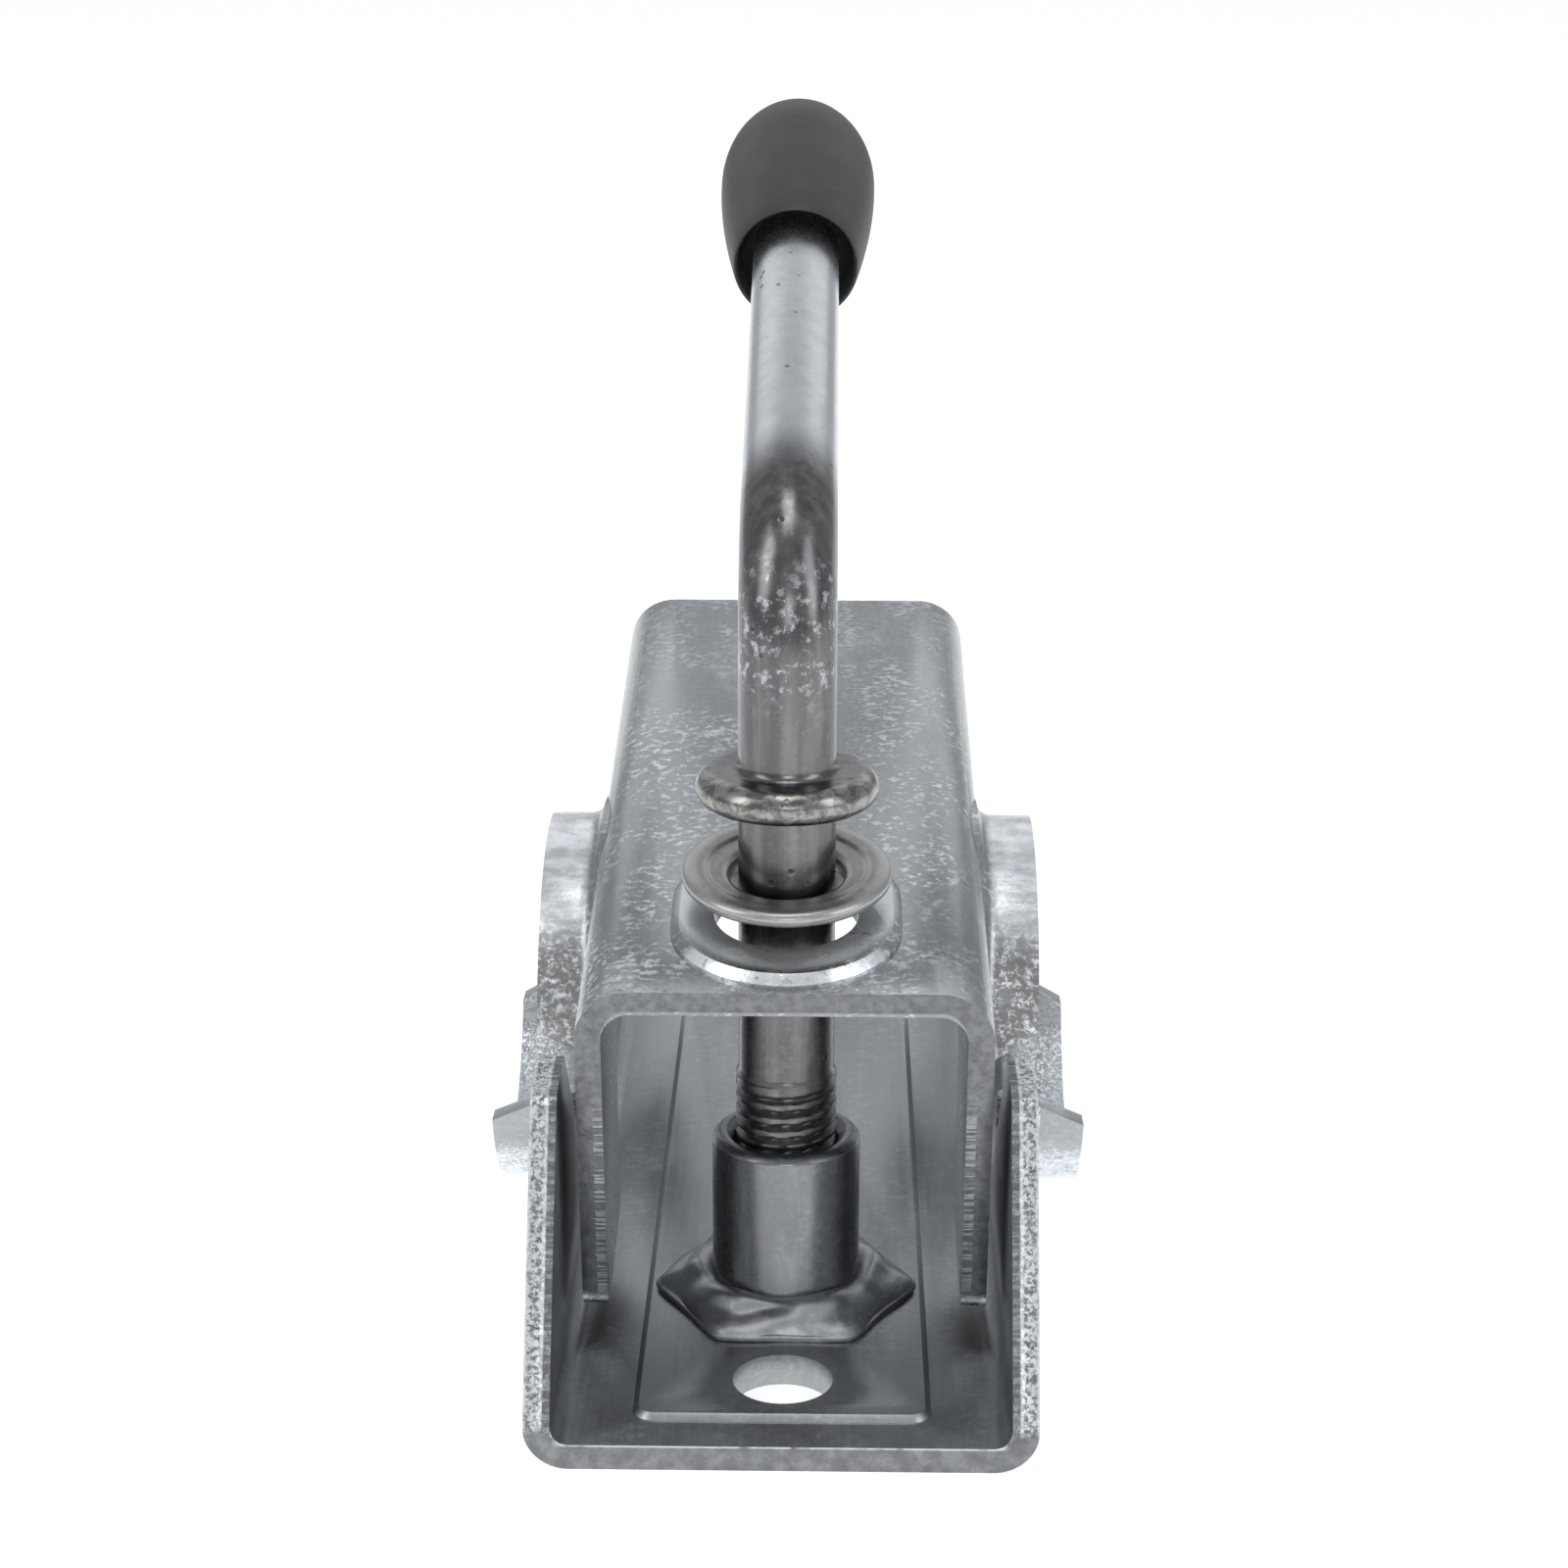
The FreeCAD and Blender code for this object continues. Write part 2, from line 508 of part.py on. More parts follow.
def cup_washer():
    """The loose pressed washer between the bead and the jaw."""
    top = WASHER_SHEET / 2
    rim = [(WASHER_RADIUS - 0.7, -top), (WASHER_RADIUS - 0.1, -top + 0.5), (WASHER_RADIUS, 0),
           (WASHER_RADIUS - 0.1, top - 0.5), (WASHER_RADIUS - 0.7, top)]
    profile = [(WASHER_HUB, -top)] + rim
    dish = top - WASHER_DISH_DEPTH
    profile += [(WASHER_DISH_RADIUS, top), (WASHER_DISH_RADIUS - 0.5, dish), (WASHER_BORE + 1.0, dish - 0.1),
                (WASHER_BORE + 0.3, dish - 0.5), (WASHER_BORE, dish - 1.0), (WASHER_BORE, -top - 0.6),
                (WASHER_BORE + 0.5, -top - WASHER_HUB_DEPTH), (WASHER_HUB, -top - WASHER_HUB_DEPTH)]
    axis = Vector(0, -math.sin(TILT), math.cos(TILT))
    return turned(profile, Vector(0, SCREW_Y, WASHER_MIDDLE), axis)


def main():
    """Make every piece and write one file for each."""
    os.makedirs("parts", exist_ok=True)
    pieces = {
        "lower_shell": lower_shell(),
        "upper_shell": upper_shell(),
        "hinge_rivet_right": hinge_rivet(1),
        "hinge_rivet_left": hinge_rivet(-1),
        "sleeve_nut": sleeve_nut(),
        "stop_ring": stop_ring(),
        "spindle": spindle(),
        "grip": grip(),
        "cup_washer": cup_washer(),
    }
    for name, shape in pieces.items():
        box = shape.BoundBox
        print("%-18s solids %d valid %s volume %9.1f  x %6.1f %6.1f  y %6.1f %6.1f  z %6.1f %6.1f" % (
            name, len(shape.Solids), shape.isValid(), shape.Volume,
            box.XMin, box.XMax, box.YMin, box.YMax, box.ZMin, box.ZMax))
        shape.exportStep(os.path.join("parts", name + ".step"))


main()
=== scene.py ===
# %% [markdown]
# # A tube clamp, finished
# The clamp is two pressed steel shells, a cranked screw and a few small parts. Every shape that fits or
# moves is already made, so this lesson loads it, adds what a press and a lathe leave behind, and
# spends most of its care on the finishes: bright zinc plate, torn sheared edges and a soft black grip.

# %% Load the frame
import bpy
import json
import math
from mathutils import Matrix, Vector, noise

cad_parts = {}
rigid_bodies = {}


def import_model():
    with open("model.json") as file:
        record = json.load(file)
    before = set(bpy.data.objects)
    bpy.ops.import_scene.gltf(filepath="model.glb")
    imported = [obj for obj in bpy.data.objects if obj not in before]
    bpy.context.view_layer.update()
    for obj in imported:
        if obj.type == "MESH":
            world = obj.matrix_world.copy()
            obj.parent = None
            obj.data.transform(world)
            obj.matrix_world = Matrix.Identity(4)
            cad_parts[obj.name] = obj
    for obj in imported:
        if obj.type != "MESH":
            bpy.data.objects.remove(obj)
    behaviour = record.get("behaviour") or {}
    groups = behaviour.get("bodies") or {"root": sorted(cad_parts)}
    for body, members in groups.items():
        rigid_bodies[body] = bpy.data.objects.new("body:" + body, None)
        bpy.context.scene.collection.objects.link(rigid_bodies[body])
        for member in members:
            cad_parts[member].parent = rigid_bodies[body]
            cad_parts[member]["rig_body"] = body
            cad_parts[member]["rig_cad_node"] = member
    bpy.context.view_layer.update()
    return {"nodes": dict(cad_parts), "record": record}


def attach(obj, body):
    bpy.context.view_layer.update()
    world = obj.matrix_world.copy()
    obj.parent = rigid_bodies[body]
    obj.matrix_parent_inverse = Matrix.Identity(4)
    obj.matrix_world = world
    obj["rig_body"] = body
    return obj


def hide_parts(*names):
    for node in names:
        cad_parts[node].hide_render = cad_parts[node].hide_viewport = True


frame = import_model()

nodes = frame["nodes"]

# %% [markdown]
# ## Sizes
# A few driving sizes of the clamp are needed again here, in metres. The rest is read from the frame.

# %% Named sizes
MM = 0.001
WELD = 0.01 * MM
SHEET = 3.5 * MM
BASE_HALF = 33.6 * MM
UPPER_HALF = 27.85 * MM
JAW_FRONT = -54.0 * MM
JAW_REAR = 65.0 * MM
BOSS_HALF_LENGTH = 19.5 * MM
BOSS_HALF_WIDTH = 15.8 * MM
BOSS_FOOT = 60.0 * MM
BASE_END = 82.0 * MM
FLANGE_FOOT = 4.6 * MM
CORNER_INSIDE = 28.0 * MM
ARM_FOOT = -30.0 * MM
BEAD_TOP = 84.0 * MM
SCREW_Y = -40.0 * MM
SHANK_RADIUS = 6.65 * MM
THREAD_RADIUS = 7.0 * MM
THREAD_PITCH = 2.0 * MM
THREAD_TOP = 38.5 * MM
BEND_RADIUS = 19.0 * MM
ARM_CORNER = 112.3 * MM
ARM_RISE = math.radians(18.0)
GRIP_START = 86.2 * MM
GRIPPED_LENGTH = 37.8 * MM
JAW_TILT = math.radians(9.0)

# %% [markdown]
# ## Helpers for hand work
# An operator acts on whatever is selected, so each step starts from nothing selected.

# %% Selection helpers
def clear_selection():
    """Nothing selected, and nothing active."""
    if bpy.context.object and bpy.context.object.mode != "OBJECT":
        bpy.ops.object.mode_set(mode="OBJECT")
    bpy.ops.object.select_all(action="DESELECT")


def take(piece):
    """Make one piece the only selected and active one."""
    clear_selection()
    piece.select_set(True)
    bpy.context.view_layer.objects.active = piece


def edit_all():
    """Into Edit Mode, with the whole mesh selected."""
    bpy.ops.object.mode_set(mode="EDIT")
    bpy.ops.mesh.select_all(action="SELECT")


def settle(piece):
    """Put the piece's place into its mesh, so that its object sits at the origin."""
    take(piece)
    bpy.ops.object.transform_apply(location=True, rotation=True, scale=True)


def smooth(piece, angle):
    """Shade smooth, with edges sharper than the angle left crisp."""
    take(piece)
    bpy.ops.object.shade_smooth_by_angle(angle=math.radians(angle))


def reshape(piece, kind, **settings):
    """Give the active piece one modifier with these settings, and apply it."""
    change = piece.modifiers.new(kind.lower(), kind)
    for key, value in settings.items():
        setattr(change, key, value)
    bpy.ops.object.modifier_apply(modifier=change.name)


def welded_copy(node, name):
    """A welded copy of a CAD node's mesh, to be worked on as its visible piece."""
    clear_selection()
    piece = nodes[node].copy()
    piece.data = nodes[node].data.copy()
    piece.name = piece.data.name = name
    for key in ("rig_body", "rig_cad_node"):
        if key in piece:
            del piece[key]
    piece.parent = None
    bpy.context.scene.collection.objects.link(piece)
    take(piece)
    edit_all()
    bpy.ops.mesh.remove_doubles(threshold=WELD)
    bpy.ops.object.mode_set(mode="OBJECT")
    return piece


# %% [markdown]
# ## Shader maths
# A small class wraps a socket, so that a pattern can be written as a plain expression. The greys that
# several finishes share have names, from the white of the painted highlights to the deepest wear.

# %% Socket class
class Wire:
    """One output socket, with operators that add Math nodes."""

    def __init__(self, maker, socket):
        self.maker, self.socket = maker, socket

    def _math(self, operation, first, second=None):
        values = [first] if second is None else [first, second]
        return self.maker.node("ShaderNodeMath", {"operation": operation}, dict(enumerate(values)))[0]

    def __add__(self, other): return self._math("ADD", self, other)
    def __radd__(self, other): return self._math("ADD", other, self)
    def __sub__(self, other): return self._math("SUBTRACT", self, other)
    def __rsub__(self, other): return self._math("SUBTRACT", other, self)
    def __mul__(self, other): return self._math("MULTIPLY", self, other)
    def __truediv__(self, other): return self._math("DIVIDE", self, other)
    def __abs__(self): return self._math("ABSOLUTE", self)
    def __pow__(self, other): return self._math("POWER", self, other)

    def over(self, low, high):
        """0 below low, 1 above high, and smooth between."""
        sockets = {"Value": self, "From Min": low, "From Max": high}
        settings = {"interpolation_type": "SMOOTHSTEP", "clamp": True}
        return self.maker.node("ShaderNodeMapRange", settings, sockets)["Result"]


class Outputs:
    """The outputs of a node, by name or number."""

    def __init__(self, maker, node):
        self.maker, self.node = maker, node

    def __getitem__(self, key):
        return Wire(self.maker, self.node.outputs[key])


class Finish:
    """A material being made: its nodes, its shader and its coordinates."""

    def __init__(self, name):
        self.material = bpy.data.materials.new(name)
        self.material.use_nodes = True
        self.tree = self.material.node_tree
        self.shader = self.tree.nodes["Principled BSDF"]
        self.place = self.node("ShaderNodeTexCoord", {}, {})["Object"]

    def node(self, kind, settings, sockets):
        """Add a node: its settings first, then values or links for its sockets."""
        made = self.tree.nodes.new(kind)
        for key, value in settings.items():
            setattr(made, key, value)
        for key, value in sockets.items():
            self.feed(made.inputs[key], value)
        return Outputs(self, made)

    def feed(self, socket, value):
        """Link a wire or set a plain value."""
        if isinstance(value, Wire):
            self.tree.links.new(value.socket, socket)
        else:
            socket.default_value = value

    def stretched(self, scale):
        """Object coordinates, scaled along each axis."""
        return self.node("ShaderNodeMapping", {}, {"Vector": self.place, "Scale": scale})["Vector"]

    def cloud(self, scale, detail=4.0, rough=0.55, where=None, warp=0.0):
        """Soft noise from 0 to 1."""
        sockets = {"Vector": where or self.place, "Scale": scale, "Detail": detail,
                   "Roughness": rough, "Distortion": warp}
        return self.node("ShaderNodeTexNoise", {}, sockets)["Fac"]

    def cells(self, scale):
        """Distance to the nearest point of a scattered set."""
        return self.node("ShaderNodeTexVoronoi", {}, {"Vector": self.place, "Scale": scale})["Distance"]

    def mix(self, amount, first, second):
        """Between two colours."""
        made = self.tree.nodes.new("ShaderNodeMix")
        made.data_type = "RGBA"
        for index, value in ((0, amount), (6, first), (7, second)):
            self.feed(made.inputs[index], value)
        return Wire(self, made.outputs[2])

    def axes(self, vector=None):
        """The X, Y and Z of a vector, as three wires."""
        split = self.node("ShaderNodeSeparateXYZ", {}, {"Vector": vector or self.place})
        return split["X"], split["Y"], split["Z"]

    def facing(self):
        """The surface's own direction, as three wires."""
        return self.axes(self.node("ShaderNodeNewGeometry", {}, {})["Normal"])

    def bump(self, height, distance, strength, under=None):
        """Relief for the Normal socket, in metres."""
        sockets = {"Height": height, "Distance": distance, "Strength": strength}
        if under is not None:
            sockets["Normal"] = under
        return self.node("ShaderNodeBump", {}, sockets)["Normal"]

    def set(self, **values):
        """Feed the shader's sockets, with _ for each space in a socket's name."""
        for key, value in values.items():
            self.feed(self.shader.inputs[key.replace("_", " ")], value)
        return self.material


def grey(value, tint=(1.0, 1.0, 1.0)):
    """A grey colour, with a slight tint."""
    return tuple(value * part for part in tint) + (1.0,)


COOL = (0.965, 0.995, 1.03)
WARM = (1.03, 1.0, 0.95)
SOFT_WARM = (1.01, 1.0, 0.975)
# The two whitest greys are painted highlights: glints on edges and on the jaw's collars.
PAINTED_GLINT_WHITE = grey(0.97, COOL)
PAINTED_EDGE_GLINT = grey(0.93, COOL)
BRIGHT_ZINC = grey(0.80, COOL)
PLAIN_ZINC = grey(0.62, COOL)
DARK_ZINC = grey(0.24, COOL)
WORN_ZINC = grey(0.34, WARM)
DEEP_ZINC = grey(0.16, WARM)

# %% [markdown]
# ## Bright zinc on pressed sheet
# Zinc plate on cold-rolled sheet is not a mirror. It has a fine spangle of bright specks, cloudy grey
# patches, faint rolling lines along the sheet, and small dull rubs where parts lay in the barrel.
# Noises at five scales feed the colour, the roughness and a very low bump. The sheared edges are
# rougher: a shear leaves a bright band and a torn band, with fine lines straight across the sheet.

# %% Zinc tone
def zinc_tone(f, base, speck, tint=COOL):
    """Colour, roughness and relief of bright zinc plate."""
    clouds = f.cloud(38, 5, 0.6, warp=0.4)
    patches = f.cloud(95, 4, 0.65, where=f.stretched((1, 0.55, 1)))
    grain = f.cloud(900, 3, 0.7)
    flecks = f.cloud(1000, 4, 0.65, where=f.stretched((0.75, 1, 1)))
    lines = f.cloud(160, 3, 0.6, where=f.stretched((9, 0.25, 9)))
    bright = flecks.over(0.50, 0.62) * patches.over(0.40, 0.60)
    dull = clouds.over(0.50, 0.72) * 0.5 + patches.over(0.55, 0.75) * 0.35
    tone = 0.5 + (clouds - 0.5) * 0.55 + (grain - 0.5) * 0.30 + (lines - 0.5) * 0.30
    colour = f.mix(tone.over(0.15, 0.95), grey(base * 0.74, tint), grey(base * 1.28, tint))
    colour = f.mix(bright * speck, colour, grey(0.92, tint))
    rough = 0.27 + dull * 0.16 + (grain - 0.5) * 0.14 + bright * speck * 0.12 + (lines - 0.5) * 0.06
    relief = grain * 0.50 + lines * 0.4 + patches * 0.4 + bright * speck * 0.8
    return colour, rough, relief


# %% Sheet finishes
def sheet_base():
    """The base: plate on sheet, with a bright torn band and a dark laddered band where it was sheared, and
    painted highlights on its cut edges.
    """
    f = Finish("zinc_base_sheet")
    colour, rough, relief = zinc_tone(f, 0.42, 0.16)
    edge = lower_edges(f)
    x, _, z = f.axes()
    across = (abs(x) - (BASE_HALF - SHEET)) / SHEET
    flange = z.over(FLANGE_FOOT, FLANGE_FOOT + 1.4 * MM)
    inner = (1 - across.over(0.28, 0.36)) * flange
    # Painted highlights: thin bright lines along the edges of the flanges' cut faces.
    edge_glints = across.over(0.88, 0.94) + across.over(0.26, 0.32) * (1 - across.over(0.38, 0.46))
    pits = f.cloud(1500, 4, 0.8).over(0.47, 0.60)
    coarse = f.cloud(420, 3, 0.6)
    ladder = f.cloud(1500, 2, 0.5, where=f.stretched((0.08, 1, 1))).over(0.42, 0.60)
    torn = f.mix(pits * (0.45 + coarse * 0.8), BRIGHT_ZINC, DEEP_ZINC)
    torn = f.mix(inner, torn, DARK_ZINC)
    torn = f.mix(inner * ladder * 0.6, torn, grey(0.55, COOL))
    # Painted highlight: the bright edge lines are mixed in here.
    torn = f.mix(edge_glints * flange * coarse.over(0.25, 0.55), torn, PAINTED_EDGE_GLINT)
    smooth_end = f.mix(coarse.over(0.35, 0.7), grey(0.20, COOL), grey(0.30, COOL))
    between_corners = 1 - abs(x).over(CORNER_INSIDE, CORNER_INSIDE + 2 * MM)
    # Painted highlight: a thin white line along the top edge of the base's ends, between the corners.
    top_edge_highlight = z.over(3.1 * MM, 3.6 * MM) * coarse.over(0.30, 0.46) * between_corners
    smooth_end = f.mix(top_edge_highlight, smooth_end, PAINTED_EDGE_GLINT)
    torn = f.mix(flange, smooth_end, torn)
    colour = f.mix(edge, colour, torn)
    rough = rough + 0.09 + edge * (0.04 + pits * 0.16)
    fine = f.bump(relief, 0.04 * MM, 0.7)
    ridges = f.bump(edge * flange * ((1 - pits) * 1.2 + ladder * inner * 0.5), 0.25 * MM, 0.8, under=fine)
    return f.set(Base_Color=colour, Roughness=rough, Metallic=1.0, Normal=ridges)


def dark_spots(f):
    """Clustered dark spots."""
    return f.cloud(800, 4, 0.7).over(0.56, 0.66) * f.cloud(110, 3, 0.5).over(0.48, 0.60)


def sheet_jaw():
    """The jaw: heavily flecked plate, collars painted bright with painted shade low down, painted highlights
    on its rear, boss and front edge, and satin cut edges hatched on the legs.
    """
    f = Finish("zinc_jaw_sheet")
    colour, rough, relief = zinc_tone(f, 0.38, 0.80)
    edge = upper_edges(f)
    x, y, z = f.axes()
    _, ny, _ = f.facing()
    # Painted light: the jaw's plate is painted lighter towards its rear.
    colour = f.mix(y.over(0, JAW_REAR) * 0.55, colour, PLAIN_ZINC)
    drawn = abs(x).over(UPPER_HALF + 0.9 * MM, UPPER_HALF + 2.2 * MM)
    blotch = f.cloud(1000, 5, 0.75, warp=0.3)
    scratches = f.cloud(260, 3, 0.6, where=f.stretched((1, 1, 5)))
    # Painted shade: dark blotches kept to the lower part of the collars.
    low = 1 - z.over(48 * MM, 56 * MM)
    dark = blotch.over(0.38, 0.52) * low * 0.90
    # Painted highlight: the collars are painted near white, scratched with plain grey.
    bright = f.mix(scratches.over(0.3, 0.7), PLAIN_ZINC, PAINTED_GLINT_WHITE)
    collar_light_and_shade = f.mix(dark, bright, grey(0.20, SOFT_WARM))
    colour = f.mix(drawn, colour, collar_light_and_shade)
    # Painted highlight: the raised boss round the screw is painted brighter, with clustered dark spots.
    ahead = (y - SCREW_Y) / BOSS_HALF_LENGTH
    aside = x / BOSS_HALF_WIDTH
    boss = (1 - (ahead * ahead + aside * aside).over(0.85, 1.0)) * z.over(BOSS_FOOT, BOSS_FOOT + 1 * MM)
    boss_painted_highlight = f.mix(dark_spots(f), BRIGHT_ZINC, WORN_ZINC)
    colour = f.mix(boss * 0.85, colour, boss_painted_highlight)
    soft = f.cloud(700, 3, 0.6)
    satin = f.mix(soft.over(0.3, 0.7), grey(0.16, COOL), DARK_ZINC)
    legs = 1 - z.over(36 * MM, 44 * MM)
    hatch = f.cloud(1700, 2, 0.5, where=f.stretched((0.05, 1, 1))).over(0.45, 0.58)
    inner = 1 - abs(x).over(UPPER_HALF - 2.2 * MM, UPPER_HALF - 1.9 * MM)
    satin = f.mix(hatch * legs * inner * 0.40, satin, PLAIN_ZINC)
    colour = f.mix(edge, colour, satin)
    # Painted highlight: a white line on the slanted bevel along the top of the web's front edge.
    slanting = abs(ny).over(0.28, 0.40) * (1 - abs(ny).over(0.88, 0.95))
    rim = slanting * (1 - drawn) * (1 - y.over(JAW_FRONT, JAW_FRONT + 2 * MM))
    colour = f.mix(rim * soft.over(0.25, 0.45), colour, PAINTED_GLINT_WHITE)
    rough = rough + edge * 0.06 + drawn * dark * 0.12 + boss * 0.10
    fine = f.bump(relief + edge * hatch * legs * inner * 1.5, 0.04 * MM, 0.7)
    dented = f.bump(blotch * drawn, 0.08 * MM, 0.6, under=fine)
    return f.set(Base_Color=colour, Roughness=rough, Metallic=1 - drawn * (1 - dark) * 0.45, Normal=dented)


# %% Edge masks
def lower_edges(f):
    """The base's cut edges: faces of the flange's thickness, and both ends of the base."""
    x, y, z = f.axes()
    nx, ny, nz = f.facing()
    wall = abs(x).over(BASE_HALF - SHEET - 0.2 * MM, BASE_HALF - SHEET + 0.1 * MM)
    flat = 1 - abs(nx).over(0.25, 0.60)
    foot = abs(nz).over(0.5, 0.9) * (1 - z.over(5.0 * MM, 7.0 * MM))
    ends = abs(ny).over(0.90, 0.98) * (1 - z.over(FLANGE_FOOT, FLANGE_FOOT + 0.6 * MM))
    ends = ends * abs(y).over(BASE_END - 1 * MM, BASE_END)
    outside = abs(x).over(36.4 * MM, 36.9 * MM) * (1 - abs(nz).over(0.35, 0.75))
    return (wall * flat * (1 - foot) * (1 - outside) + ends).over(0.2, 0.8)


def upper_edges(f):
    """The jaw's cut edges: both ends of its web and the thickness of its flanges."""
    x, y, z = f.axes()
    _, ny, nz = f.facing()
    ends = abs(ny).over(0.94, 0.98)
    wall = abs(x).over(UPPER_HALF - SHEET - 0.2 * MM, UPPER_HALF - SHEET + 0.1 * MM)
    within = 1 - abs(x).over(UPPER_HALF + 0.1 * MM, UPPER_HALF + 0.5 * MM)
    under = (0 - nz).over(0.80, 0.95) * wall * within
    front = ends * (1 - y.over(JAW_FRONT, JAW_FRONT + 2 * MM))
    rear = ends * y.over(JAW_REAR - 2 * MM, JAW_REAR)
    return (front + rear + under * (1 - z.over(26 * MM, 30 * MM))).over(0.2, 0.8)


lower_zinc, upper_zinc = sheet_base(), sheet_jaw()

# %% [markdown]
# ## Drawn bar, turned nut and tumbled washer
# The bar was drawn, so its streaks run along it. Round the crank's curve the plate has bright spots, and the
# arm beyond is painted lighter as a painted highlight. The nut was turned, so its lines run round it.
# The washer was pressed and tumbled, and it and the bead are a little warmer and duller.

# %% Bar
def bar_zinc():
    """Zinc on drawn bar: long streaks, small pits, a spotted bend, an arm painted lighter as a painted
    highlight, painted shade in dark spots above the bead, a rubbed bead and a duller thread.
    """
    f = Finish("zinc_bar")
    x, y, z = f.axes()
    colour, rough, relief = zinc_tone(f, 0.135, 0.05)
    streaks = f.cloud(420, 3, 0.6, where=f.stretched((1, 1, 0.06)))
    pit = 1 - f.cells(230).over(0.05, 0.13)
    bend_height = z.over(90 * MM, 98 * MM) * (1 - z.over(108 * MM, 114 * MM))
    bend = bend_height * (1 - y.over(ARM_FOOT - 12 * MM, ARM_FOOT))
    blotch = f.cloud(520, 4, 0.7).over(0.52, 0.66) * bend
    arm = y.over(ARM_FOOT, ARM_FOOT + 12 * MM)
    # Painted highlight: the arm is painted lighter than the upright stretch.
    colour = f.mix(arm * 0.85, colour, grey(0.74, COOL))
    colour = f.mix(streaks.over(0.35, 0.75) * 0.30, colour, grey(0.42, SOFT_WARM))
    out = (x * x + (y - SCREW_Y) * (y - SCREW_Y)) ** 0.5
    bead = out.over(9.5 * MM, 11.0 * MM) * (1 - z.over(BEAD_TOP, BEAD_TOP + 1 * MM))
    rubbed = f.cloud(420, 4, 0.7, warp=0.8)
    colour = f.mix(bead, colour, f.mix(rubbed.over(0.42, 0.60), DEEP_ZINC, WORN_ZINC))
    above_bead = z.over(BEAD_TOP - 2 * MM, BEAD_TOP + 2 * MM)
    # Painted shade, with mottling: dark spots on the upright stretch of the bar above the bead.
    low_spots_and_shade = f.cloud(900, 4, 0.75).over(0.56, 0.66) * above_bead * (1 - arm)
    colour = f.mix(low_spots_and_shade * 0.6, colour, grey(0.14, WARM))
    colour = f.mix(blotch * 0.50, colour, grey(0.85, COOL))
    colour = f.mix(pit * 0.75, colour, grey(0.10, WARM))
    thread = (1 - z.over(THREAD_TOP, THREAD_TOP + 0.6 * MM)) * z.over(6 * MM, 7 * MM)
    rough = rough * 0.92 + (streaks - 0.5) * 0.10 + blotch * 0.10 + thread * 0.06
    fine = f.bump(relief * 0.6 + streaks, 0.03 * MM, 0.7)
    pitted = f.bump((1 - pit) + blotch * 0.4, 0.08 * MM, 0.6, under=fine)
    return f.set(Base_Color=colour, Roughness=rough, Metallic=1.0, Normal=pitted)


def turned_zinc():
    """Zinc on a turned barrel: fine lines round it, bright, with soft clouds."""
    f = Finish("zinc_turned_nut")
    colour, rough, relief = zinc_tone(f, 0.25, 0.08)
    rings = f.cloud(900, 2, 0.5, where=f.stretched((0.04, 0.04, 1.6)))
    drips = f.cloud(260, 4, 0.65, where=f.stretched((1, 1, 0.22)))
    colour = f.mix(drips.over(0.45, 0.75) * 0.5, colour, grey(0.40, COOL))
    fine = f.bump(relief * 0.5 + rings * 0.35 + drips * 0.8, 0.04 * MM, 0.7)
    return f.set(Base_Color=colour, Roughness=rough + 0.02 + (rings - 0.5) * 0.04, Metallic=1.0, Normal=fine)


def tumbled_zinc(name, base, tint):
    """Zinc on a small pressed part, rounded and dinged in the tumbling barrel."""
    f = Finish(name)
    colour, rough, relief = zinc_tone(f, base, 0.04, tint)
    dings = f.cells(420)
    scuff = f.cloud(300, 5, 0.7, warp=1.2).over(0.52, 0.68)
    colour = f.mix(scuff * 0.35, colour, grey(base * 0.66, WARM))
    fine = f.bump(relief * 0.6 + dings * 0.9, 0.06 * MM, 0.7)
    return f.set(Base_Color=colour, Roughness=rough + 0.08 + scuff * 0.10, Metallic=1.0, Normal=fine)


# %% [markdown]
# ## Soft black grip
# The cap is dipped or moulded PVC: nearly black, a matt grey bloom from handling, a very fine orange
# peel, and a few pale specks of dust. It has no metal in it, so all its light is a broad soft sheen.

# %% Grip finish
def grip_soft():
    """Matt black soft plastic."""
    f = Finish("grip_soft_black")
    peel = f.cloud(1500, 3, 0.6)
    bloom = f.cloud(70, 4, 0.6, warp=0.5)
    smear = f.cloud(160, 4, 0.65, where=f.stretched((1, 0.4, 1)))
    dust = 1 - f.cells(620).over(0.04, 0.10)
    tone = bloom.over(0.35, 0.75) * 0.6 + smear.over(0.45, 0.75) * 0.4
    colour = f.mix(tone, (0.034, 0.034, 0.034, 1), (0.060, 0.060, 0.061, 1))
    colour = f.mix(dust * 0.5, colour, (0.16, 0.16, 0.17, 1))
    rough = 0.50 + (bloom - 0.5) * 0.16 + (peel - 0.5) * 0.14
    fine = f.bump(peel + smear * 0.4, 0.05 * MM, 0.7)
    return f.set(Base_Color=colour, Roughness=rough, Metallic=0.0, Normal=fine)


bar, turned = bar_zinc(), turned_zinc()
tumbled = tumbled_zinc("zinc_washer", 0.46, SOFT_WARM)
rivet_zinc = tumbled_zinc("zinc_rivets", 0.46, COOL)
soft_black = grip_soft()

FINISHES = {"lower_shell": lower_zinc, "upper_shell": upper_zinc, "sleeve_nut": turned, "spindle": bar,
            "cup_washer": tumbled, "stop_ring": rivet_zinc, "hinge_rivet_right": rivet_zinc,
            "hinge_rivet_left": rivet_zinc, "grip": soft_black}
for name, finish in FINISHES.items():
    nodes[name].data.materials.clear()
    nodes[name].data.materials.append(finish)
print("finishes", sorted(set(finish.name for finish in FINISHES.values())))

# %% [markdown]
# ## Softened edges on the shells and the nut
# The shells were blanked, drawn and then tumbled before plating, so no edge is razor sharp. The
# welded copy of each one first loses the flat triangles inside its faces, then a small bevel takes
# every sharp edge. Its width is a quarter to half a millimetre, and it is what catches the light.

